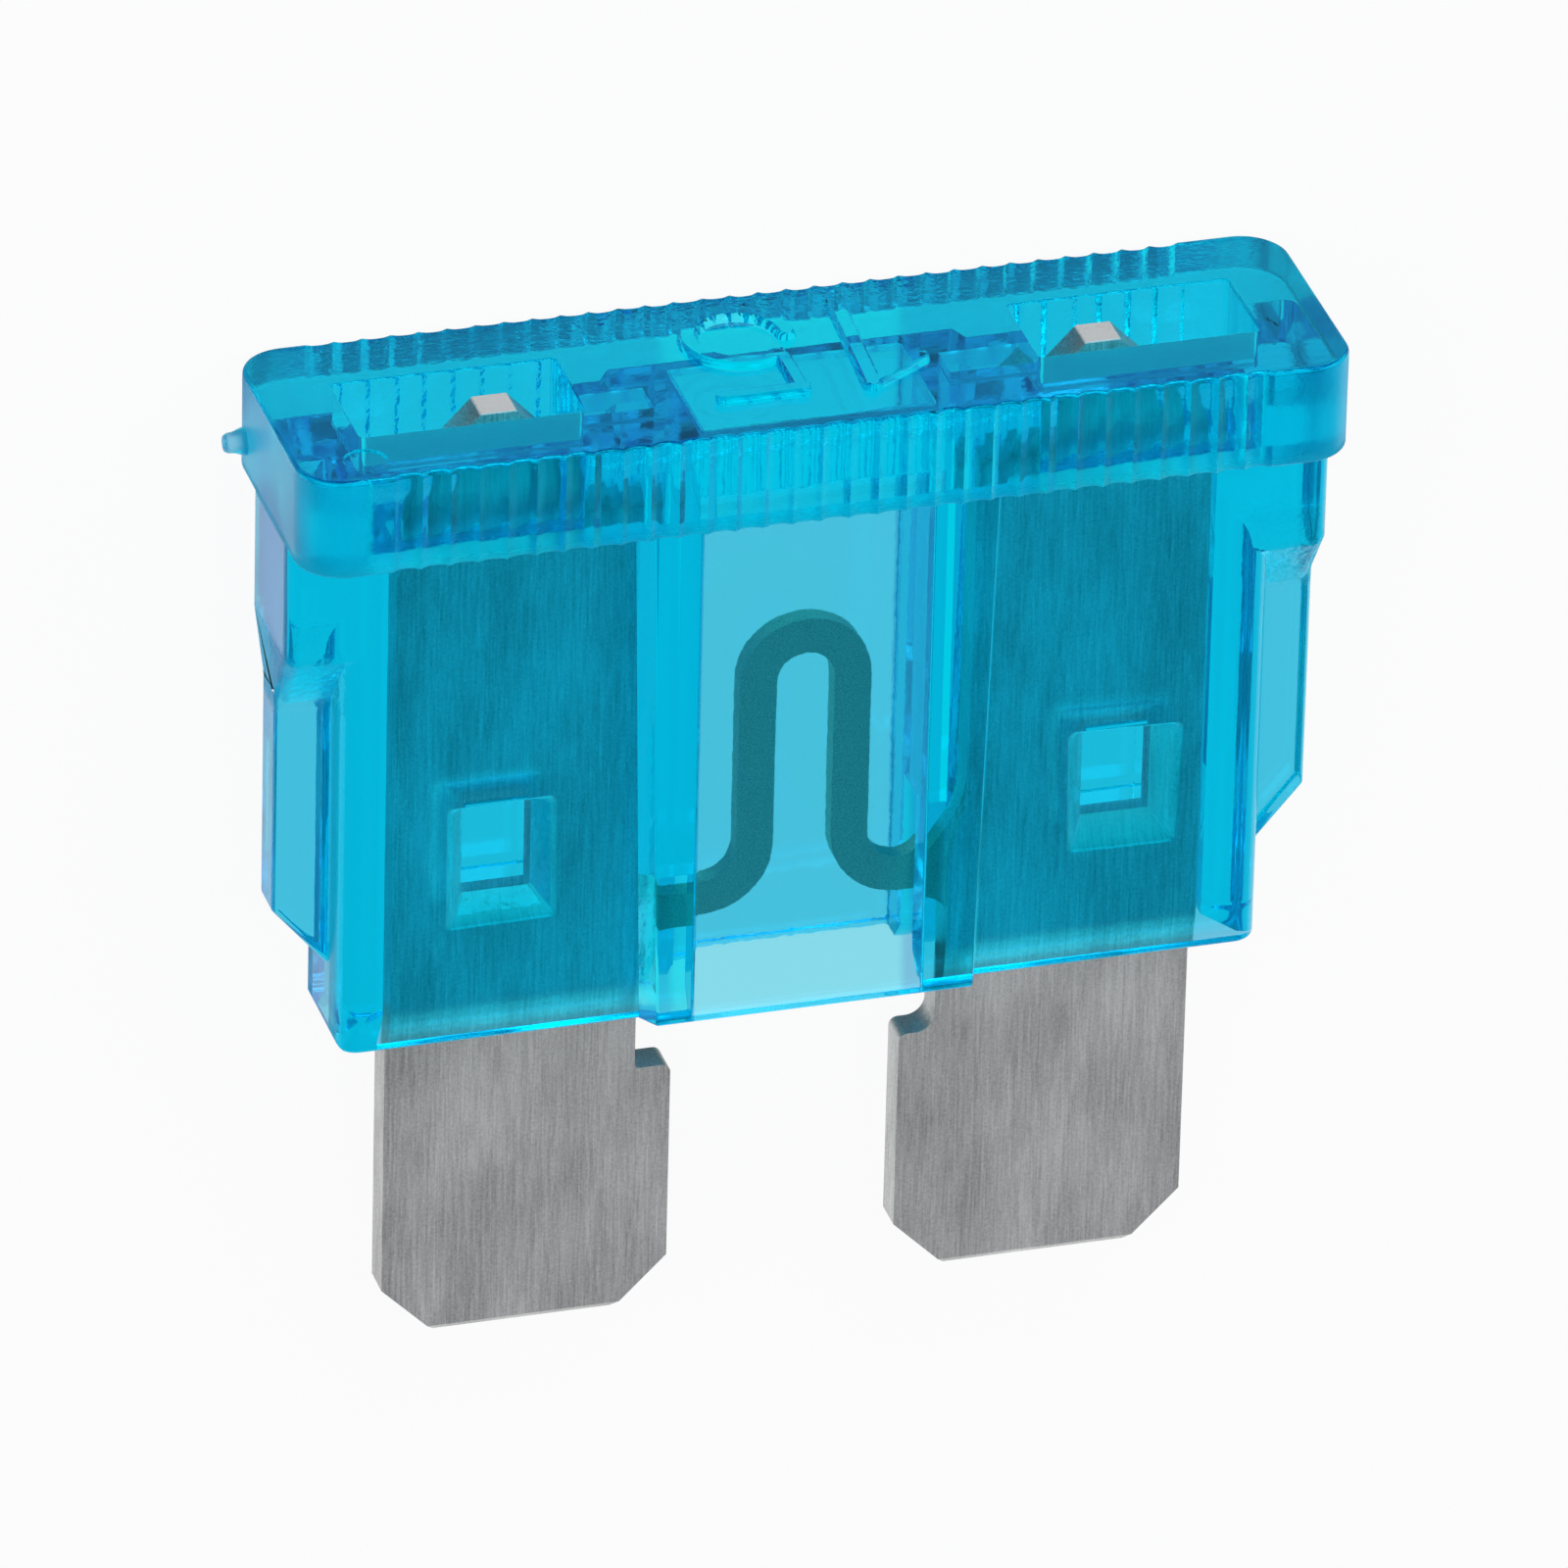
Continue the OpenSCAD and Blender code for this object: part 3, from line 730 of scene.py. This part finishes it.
work = merged(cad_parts["fuse_element"].data)
up = stand([v.co for v in work.verts])
on_fillet = root_at(up) & (up[:, 2] > ROOT_LOW) & (up[:, 2] < ROOT_HIGH + 0.05)
levels = np.unique(up[on_fillet, 2].round(2))
upwards = lay([[0, 0, 1]])[0] - lay([[0, 0, 0]])[0]
for level in levels:
    bmesh.ops.bisect_plane(work, geom=work.verts[:] + work.edges[:] + work.faces[:],
                           dist=0.01, plane_co=lay([[0, 0, level]])[0], plane_no=upwards)
# The points are moved on a mesh as one array, and go back to have the flat
# faces joined again.
mesh = bpy.data.meshes.new("zinc_element")
work.to_mesh(mesh)
places = np.empty(len(mesh.vertices) * 3)
mesh.vertices.foreach_get("co", places)
mesh.vertices.foreach_set("co", lay(set_back(stand(places.reshape(-1, 3)))).ravel())
work.clear()
work.from_mesh(mesh)
bmesh.ops.dissolve_limit(work, angle_limit=FLAT, verts=work.verts, edges=work.edges)
work.verts.index_update()
mesh.clear_geometry()
mesh.from_pydata([v.co for v in work.verts], [], [[v.index for v in f.verts] for f in work.faces])
work.free()
element = bpy.data.objects.new("zinc_element", mesh)
bpy.context.collection.objects.link(element)
print("levels on the root in mm:", levels, "faces of the element:", len(mesh.polygons))

# %% [markdown]
# ## Punched edges
# A punch draws the edge of the strip down by a few hundredths of a millimetre.
# A Bevel of that width, on every edge that is sharper than 35 degrees, gives
# each edge the fine line of light that shows it to be metal and not card.

# %% Soften the element
PUNCHED, SHARP = 0.045, math.radians(35)
bevel = element.modifiers.new("edges", "BEVEL")
bevel.width = PUNCHED
bevel.segments = 3
bevel.limit_method = "ANGLE"
bevel.angle_limit = SHARP
element.data = applied(element)
element.modifiers.clear()
weigh_normals(element.data)
finish(element, to_metres)

# %% [markdown]
# ## Materials
# A procedural material is a small graph of nodes that works out a value at
# each point of the surface. The same few steps come back in every material, so
# they are written once as helpers: add a node, do a sum, blend from 0 to 1
# between two heights, or draw a noise that is stretched along one direction.

# %% Helpers for nodes
def add(tree, kind, settings=(), **inputs):
    """A new node. Settings are its own; an input is a number, a colour or another's socket."""
    made = tree.nodes.new("ShaderNode" + kind)
    for key, value in dict(settings).items():
        setattr(made, key, value)
    for key, value in inputs.items():
        numbered = key[0] == "i" and key[1:].isdigit()
        socket = made.inputs[int(key[1:])] if numbered else made.inputs[key.replace("_", " ")]
        if isinstance(value, bpy.types.NodeSocket):
            tree.links.new(value, socket)
        else:
            socket.default_value = value
    return made


def math_node(tree, operation, a, b=0.0):
    """One sum with two values."""
    return add(tree, "Math", {"operation": operation}, i0=a, i1=b).outputs[0]


def product(tree, first, *others):
    """All values multiplied."""
    for other in others:
        first = math_node(tree, "MULTIPLY", first, other)
    return first


def total(tree, first, *others):
    """All values added."""
    for other in others:
        first = math_node(tree, "ADD", first, other)
    return first


def mask(tree, value, low, high):
    """0 at low and 1 at high, with a smooth step between; high may be the smaller one."""
    step = add(tree, "MapRange", {"interpolation_type": "SMOOTHSTEP"},
               Value=value, From_Min=low, From_Max=high)
    return step.outputs[0]


def noise(tree, vector, stretch, detail=2.0, roughness=0.5):
    """Noise between 0 and 1 that changes stretch times in a millimetre along X, Y and Z."""
    stretched = add(tree, "VectorMath", {"operation": "MULTIPLY"}, i0=vector, i1=stretch)
    made = add(tree, "TexNoise", {}, Vector=stretched.outputs[0], Scale=1.0,
               Detail=detail, Roughness=roughness)
    return made.outputs["Fac"]


def upright(tree):
    """The place in upright millimetres, by one Mapping node, and its X, Y and Z apart."""
    source = add(tree, "TexCoord").outputs["Object"]
    turn = add(tree, "Mapping", {}, Vector=source, Location=stand([[0, 0, 0]])[0].tolist(),
               Rotation=(math.pi / 2 - REST_TILT, 0, 0), Scale=(MM, MM, MM)).outputs[0]
    apart = add(tree, "SeparateXYZ", {}, Vector=turn).outputs
    return turn, apart[0], apart[1], apart[2]


def new_material(name):
    """A material with its tree of nodes, its shader and its output."""
    material = bpy.data.materials.new(name)
    material.use_nodes = True
    nodes = material.node_tree.nodes
    return material, material.node_tree, nodes["Principled BSDF"], nodes["Material Output"]


# %% [markdown]
# ## The clear blue plastic
# The housing is polycarbonate with a blue dye in it. The dye is in the body and
# not on the surface, so a thick place is darker than a thin one. Volume
# Absorption does just that: it takes nearly all red light in one millimetre,
# and a little green. Its density counts for each metre, and the part is only
# millimetres thick, so the number is large. The Principled shader bends the
# light at the surface, and its pale base colour is what the skin takes away.

# %% Clear blue plastic
ABSORPTION = 2600.0
DYE = (0.0, 0.98, 0.995, 1)
SKIN_COLOUR, SHEEN_COLOUR = (0.85, 0.805, 0.935, 1), (0.0, 0.7, 1.0, 1)
POLYCARBONATE_IOR = 1.58
blue, tree, shader, output = new_material("clear_blue_plastic")
shader.inputs["Base Color"].default_value = SKIN_COLOUR
shader.inputs["Transmission Weight"].default_value = 1
shader.inputs["IOR"].default_value = POLYCARBONATE_IOR
shader.inputs["Specular Tint"].default_value = SHEEN_COLOUR
absorb = add(tree, "VolumeAbsorption", Density=ABSORPTION, Color=DYE)
tree.links.new(absorb.outputs[0], output.inputs["Volume"])
absorbed = [round(ABSORPTION / MM * (1 - c), 3) for c in DYE[:3]]
print("red, green and blue absorbed in each mm:", absorbed)

# %% [markdown]
# ## Where the plastic is rough
# A moulding copies its tool. The panels' faces are polished, the cap's flutes
# are milled, and the slopes at the neck are left as the cutter made them. So
# each of these places gets its own roughness, found by its height and its
# distance from the middle, and a fine bump on the roughest ones.

# %% Rough places on the plastic
POLISH = 0.045
FINE_BUMP, SWELL_BUMP, MICRON = 1.2, 9.0, 1e-6
place, x, y, z = upright(tree)
end = math_node(tree, "ABSOLUTE", x)
in_cap = mask(tree, z, 10.3, 10.5)
below_top = mask(tree, z, 12.24, 12.18)
on_front = product(tree, in_cap, below_top, mask(tree, y, -1.5, -2.0))
on_back = product(tree, in_cap, mask(tree, y, 2.3, 2.45))
on_cap_end = product(tree, in_cap, below_top, mask(tree, end, 8.2, 8.7))
on_rim = product(tree, mask(tree, z, 10.3, 10.42), mask(tree, z, 10.62, 10.5))
on_slope = product(tree, mask(tree, end, 8.3, 8.6), mask(tree, z, 6.6, 6.9),
                   mask(tree, z, 8.3, 7.9))
on_end = mask(tree, end, 9.3, 9.5)
deep = math_node(tree, "ABSOLUTE", y)
on_lead_in = product(tree, mask(tree, z, 0.45, 0.41), mask(tree, deep, 0.385, 0.41),
                     mask(tree, deep, 0.95, 0.85))
on_panel_end = product(tree, mask(tree, end, 8.44, 8.49), mask(tree, deep, 0.5, 0.6),
                       mask(tree, z, 7.0, 6.8))
ROUGH = ((on_lead_in, 0.12), (on_front, 0.1), (on_cap_end, 0.2), (on_rim, 0.25),
         (on_slope, 0.3), (on_end, 0.12), (on_panel_end, 0.4))
rough = total(tree, POLISH, *[product(tree, where, amount) for where, amount in ROUGH])
tree.links.new(rough, shader.inputs["Roughness"])

swell = noise(tree, place, (0.7, 0.7, 0.7), 0.0)
fine = noise(tree, place, (6, 6, 6), 1.0)
FINE = ((on_slope, 40.0), (on_front, 5.0), (on_back, 22.0))
fine_height = total(tree, FINE_BUMP, *[product(tree, where, amount) for where, amount in FINE])
height = total(tree, product(tree, swell, SWELL_BUMP), product(tree, fine, fine_height))
bump = add(tree, "Bump", {}, Strength=1.0, Distance=MICRON, Height=height)
tree.links.new(bump.outputs[0], shader.inputs["Normal"])
print("rough places on the plastic:", len(ROUGH), "with a fine bump:", len(FINE))

# %% [markdown]
# ## The zinc
# The strip is rolled, so its faces have a fine grain in one direction, here
# along the blades. Two noises that are drawn out along Z make the grain and the
# broad lighter and darker streaks. The link is coined: its skin is pressed to a
# dull, darker speckle with no direction.

# %% Zinc
BLADE_LIGHT, LINK_DARKER, ZINC_ROUGHNESS = 0.77, -0.24, 0.40
BLADE_TINT, LINK_TINT = (1.0, 1.0, 0.99, 1), (0.6, 1.0, 0.82, 1)
zinc, tree, shader, output = new_material("zinc")
place, x, y, z = upright(tree)
from_middle = math_node(tree, "ABSOLUTE", x)
on_link = product(tree, mask(tree, from_middle, 2.8, 2.6), mask(tree, z, 0.6, 1.0))
on_blade = math_node(tree, "SUBTRACT", 1.0, on_link)
grain = noise(tree, place, (26, 26, 1.1), 3.0, 0.7)
cloud = noise(tree, place, (0.8, 0.8, 0.35), 2.0)
speckle = noise(tree, place, (18, 18, 18), 2.0, 0.7)
fine_speckle = noise(tree, place, (34, 34, 34), 1.0, 0.6)
scratches = mask(tree, noise(tree, place, (9, 9, 0.45), 1.0), 0.70, 0.76)


def about_zero(value, amount):
    """A noise brought to vary about 0, times an amount."""
    return product(tree, math_node(tree, "SUBTRACT", value, 0.5), amount)


nicks = product(tree, mask(tree, speckle, 0.70, 0.74), mask(tree, cloud, 0.45, 0.6))
# Painted light on the tips: the zinc inside the cap is painted darker as a painted shade, and the
# tips' top faces are painted lighter as a painted highlight. The top faces are rougher as well.
painted_tip_shade = mask(tree, z, 10.2, 10.5)
on_tip_top = mask(tree, z, 12.06, 12.09)
blade_light = product(tree, on_blade, total(tree, about_zero(grain, 0.75), about_zero(cloud, 0.6)))
link_light = product(tree, on_link, total(tree, LINK_DARKER, about_zero(fine_speckle, 0.7)))
# The blades are darker towards their outer edges and towards the link.
darker_to_edges = total(tree, product(tree, mask(tree, from_middle, 6.3, 7.4), -0.1),
                  product(tree, mask(tree, from_middle, 3.2, 2.1), -0.06))
# The sum holds the zinc's own tone, and the painted shade and painted highlight of the tips.
light = total(tree, BLADE_LIGHT, blade_light, product(tree, on_blade, darker_to_edges),
              product(tree, on_blade, about_zero(speckle, 0.5)), link_light,
              product(tree, nicks, 0.25), product(tree, scratches, on_blade, 0.12),
              product(tree, painted_tip_shade, -0.2), product(tree, on_tip_top, 0.5))
link_tint = add(tree, "Mix", {"data_type": "RGBA"}, Factor=on_link, A=BLADE_TINT, B=LINK_TINT)
tint = add(tree, "VectorMath", {"operation": "SCALE"}, i0=link_tint.outputs["Result"], Scale=light)
tree.links.new(tint.outputs[0], shader.inputs["Base Color"])
shader.inputs["Metallic"].default_value = 1
rough = total(tree, ZINC_ROUGHNESS, product(tree, grain, 0.08), product(tree, on_tip_top, 0.35))
tree.links.new(rough, shader.inputs["Roughness"])
relief = total(tree, product(tree, on_blade, grain, 5.0), product(tree, on_link, fine_speckle, 3.0),
               product(tree, speckle, 0.8))
bump = add(tree, "Bump", {}, Strength=1.0, Distance=MICRON, Height=relief)
tree.links.new(bump.outputs[0], shader.inputs["Normal"])
print("nodes in the zinc:", len(tree.nodes))

# %% [markdown]
# ## Give each piece its material
# Each piece rides on the one body, takes the place of its CAD node, and names
# the material slot that the parts library knows it by.

# %% Pieces, bodies and slots
for piece, material, node, slot in ((housing, blue, "housing", "clear_blue_plastic"),
                                    (element, zinc, "fuse_element", "zinc")):
    piece.data.materials.clear()
    piece.data.materials.append(material)
    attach(piece, "root")
    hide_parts(node)
    print(piece.name, "replaces", node, "in", slot)

# %% [markdown]
# ## The floor
# The fuse lies on white paper. The camera should see it plain white, and the
# plastic should show white through it, so the paper shines by itself for those
# rays (Light Path tells which kind of ray has arrived). Reflections see it
# white only beside the fuse and, less so, under the blades, because the paper
# close to the housing is in its shade. In the same way the paper below the
# solid sides is a little blue: light reaches it only through the dye.

# %% Floor
PAPER, PAPER_GREY, SHADED_GREY = 0.93, 0.8, 0.2
BLUE_SHADE = (0.8, 0.74, 0.87, 1)
# Pairs of metres from the middle of the fuse. A reflection sees the floor in
# shade at the first of each, and open at the second.
ASIDE, BY_CAP, BY_HOUSING = (0.006, 0.011), (0.0095, 0.0080), (-0.0039, -0.0044)
# The blue shade is nil at the first of each, and whole at the second.
BULGE_MIDDLE = 0.00065
SOLID_FROM, SOLID_TO, SOLID_ALONG = (0.0021, 0.0023), (0.0125, 0.0105), (0.012, 0.010)


def floor_colours(tree):
    """How white the floor shines, its grey in lamp light, and its colour through the plastic."""
    path = add(tree, "LightPath")
    glossy, through = path.outputs["Is Glossy Ray"], path.outputs["Is Transmission Ray"]
    spot = add(tree, "TexCoord").outputs["Object"]
    oval = add(tree, "VectorMath", {"operation": "MULTIPLY"}, i0=spot, i1=(1, 0.35, 1)).outputs[0]
    away = add(tree, "VectorMath", {"operation": "LENGTH"}, i0=oval).outputs["Value"]
    apart = add(tree, "SeparateXYZ", {}, Vector=spot).outputs
    beside = product(tree, mask(tree, away, *ASIDE), mask(tree, apart[1], *BY_CAP))
    under_blades = product(tree, 0.6, mask(tree, apart[1], *BY_HOUSING))
    open_floor = math_node(tree, "MAXIMUM", beside, under_blades)
    camera_sees = math_node(tree, "MAXIMUM", path.outputs["Is Camera Ray"], through)
    shine = math_node(tree, "MAXIMUM", camera_sees, product(tree, glossy, open_floor))
    shaded = product(tree, SHADED_GREY - PAPER_GREY, glossy,
                     math_node(tree, "SUBTRACT", 1.0, open_floor))
    grey = total(tree, PAPER_GREY, shaded)
    side = math_node(tree, "ABSOLUTE", math_node(tree, "SUBTRACT", apart[0], BULGE_MIDDLE))
    along = math_node(tree, "ABSOLUTE", apart[1])
    below = product(tree, through, mask(tree, side, *SOLID_FROM), mask(tree, side, *SOLID_TO),
                    mask(tree, along, *SOLID_ALONG))
    shade = add(tree, "Mix", {"data_type": "RGBA"}, Factor=below, A=(1, 1, 1, 1), B=BLUE_SHADE)
    return math_node(tree, "MULTIPLY", shine, PAPER), grey, shade.outputs["Result"]


FLOOR_HALF, FLOOR_Z = 2.0, -0.00001
corners = [(sx * FLOOR_HALF, sy * FLOOR_HALF, FLOOR_Z)
           for sx, sy in ((-1, -1), (1, -1), (1, 1), (-1, 1))]
floor_mesh = bpy.data.meshes.new("floor")
floor_mesh.from_pydata(corners, [], [(0, 1, 2, 3)])
floor = bpy.data.objects.new("floor", floor_mesh)
bpy.context.collection.objects.link(floor)
floor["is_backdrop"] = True
paper, tree, shader, output = new_material("pale_floor")
tree.nodes.remove(shader)
shine, grey, seen_colour = floor_colours(tree)
matt = add(tree, "BsdfDiffuse", {}, Color=grey)
glow = add(tree, "Emission", {}, Color=seen_colour, Strength=1.0)
mixed = add(tree, "MixShader", {}, Fac=shine, i1=matt.outputs[0], i2=glow.outputs[0])
tree.links.new(mixed.outputs[0], output.inputs["Surface"])
floor_mesh.materials.append(paper)
print("floor in metres:", floor.dimensions[:])

# %% [markdown]
# ## The studio's walls
# The world is dim, and white only for the camera and through the plastic. High
# up it has a blue patch, as a coloured screen above the table would give,
# because light that leaves the ledge under the cap goes that way.

# %% World
DIM, DIM_COLOUR = 0.35, (0.93, 0.96, 1, 1)
SCREEN_WAY, SCREEN_COLOUR = (0.25, -0.57, 0.78), (0.16, 0.29, 0.44, 1)
world = bpy.data.worlds.new("studio")
bpy.context.scene.world = world
world.use_nodes = True
tree = world.node_tree
dim = tree.nodes["Background"]
dim.inputs["Color"].default_value = DIM_COLOUR
dim.inputs["Strength"].default_value = DIM
path = add(tree, "LightPath")
through = math_node(tree, "MAXIMUM", path.outputs["Is Camera Ray"],
                    path.outputs["Is Transmission Ray"])
way = add(tree, "TexCoord").outputs["Generated"]
toward = add(tree, "VectorMath", {"operation": "DOT_PRODUCT"}, i0=way, i1=SCREEN_WAY)
screen = mask(tree, toward.outputs["Value"], 0.93, 0.985)
colour = add(tree, "Mix", {"data_type": "RGBA"}, Factor=screen, A=(1, 1, 1, 1), B=SCREEN_COLOUR)
bright = add(tree, "Background", {}, Color=colour.outputs["Result"])
mixed = add(tree, "MixShader", {}, Fac=through, i1=dim.outputs[0], i2=bright.outputs[0])
tree.links.new(mixed.outputs[0], tree.nodes["World Output"].inputs["Surface"])
print("strength of the dim world:", DIM, "nodes in it:", len(tree.nodes))

# %% [markdown]
# ## The lamps
# Soft light comes from large area lamps: a key from the left, a fill from the
# right, one beyond the cap that catches the bevels of the blade tips, and one
# overhead for the blades' faces. Light is reflected inside the clear cap many
# times before it gets out, so the limits for bounces are raised. A ray that is
# cut off would leave a black spot.

# %% Lamps and bounces
BOUNCES = 24
# Each lamp's name, place and size in metres, and power in watts.
LAMPS = (
    ("key", (-0.45, 0.2, 0.5), 0.5, 1.3),
    ("fill", (0.55, 0.25, 0.35), 0.5, 0.8),
    ("top", (0.22, 0.80, 0.30), 0.4, 2.0),
    ("overhead", (0.20, 0.22, 0.74), 0.3, 0.8),
)


def lamp(name, place, size, watts):
    """A square area lamp that looks at the fuse."""
    data = bpy.data.lights.new(name, "AREA")
    data.size, data.energy = size, watts
    lamp_object = bpy.data.objects.new(name, data)
    lamp_object.location = place
    lamp_object.rotation_euler = (-Vector(place)).to_track_quat("-Z", "Y").to_euler()
    bpy.context.collection.objects.link(lamp_object)
    print("lamp", name, watts, "W at", place)


for settings in LAMPS:
    lamp(*settings)
cycles = bpy.context.scene.cycles
cycles.max_bounces = cycles.glossy_bounces = cycles.transmission_bounces = BOUNCES

# %% [markdown]
# ## Check the size
# ## The size
# The finished pieces have to keep to the box of the CAD solids. Only the raised
# number, which the solids do not have, stands a tenth of a millimetre out of
# it. Both boxes are written down, so that they can be compared.

# %% Sizes and finish
low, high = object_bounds()
print("CAD box:", cad_low, cad_high, "visual box:", low, high)
